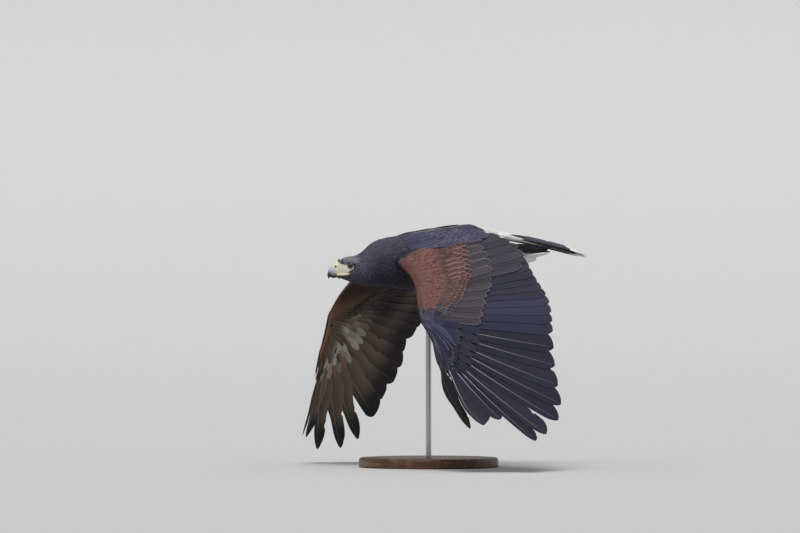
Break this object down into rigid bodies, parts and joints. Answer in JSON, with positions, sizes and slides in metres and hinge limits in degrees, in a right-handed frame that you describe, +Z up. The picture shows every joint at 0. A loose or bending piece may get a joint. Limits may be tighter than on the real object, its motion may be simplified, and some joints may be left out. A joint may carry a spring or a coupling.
{
  "type": "harris hawk model on a display stand",
  "caption": "Life-size Harris's hawk held in flight, wings half way down and tail spread, on a rod over a round base. A still museum model.",
  "frame": {"origin": "middle of the underside of the stand's base", "axes": "+Z up, the bird faces -Y, its left wing is on +X"},
  "size_m": [0.7597, 0.5332, 0.4417],
  "materials": {
    "plumage": "soft dark brown-slate body feathers",
    "tail_feathers": "slate-black vanes with a white base and a white tip band",
    "wing_feathers": "dark slate vanes, rufous lesser coverts",
    "rufous_plumage": "rufous thigh feathers",
    "cere_skin": "bare yellow skin",
    "beak_horn": "blue-grey horn with a black hook",
    "eye": "wet dark brown",
    "leg_scales": "yellow scaled skin",
    "talon_horn": "polished black horn",
    "stand_wood": "dark satin varnish",
    "stand_steel": "satin"
  },
  "bodies": {
    "root": {"head": "plumage", "cere": "cere_skin", "beak_upper": "beak_horn", "beak_lower": "beak_horn", "neck": "plumage", "torso": "plumage", "tail": "tail_feathers", "eye_left": "eye", "wing_left": "wing_feathers", "thigh_left": "rufous_plumage", "tarsus_left": "leg_scales", "foot_left": "leg_scales", "talon_left_1": "talon_horn", "talon_left_2": "talon_horn", "talon_left_3": "talon_horn", "talon_left_4": "talon_horn", "eye_right": "eye", "wing_right": "wing_feathers", "thigh_right": "rufous_plumage", "tarsus_right": "leg_scales", "foot_right": "leg_scales", "talon_right_1": "talon_horn", "talon_right_2": "talon_horn", "talon_right_3": "talon_horn", "talon_right_4": "talon_horn", "stand_base": "stand_wood", "stand_rod": "stand_steel"}
  },
  "joints": []
}
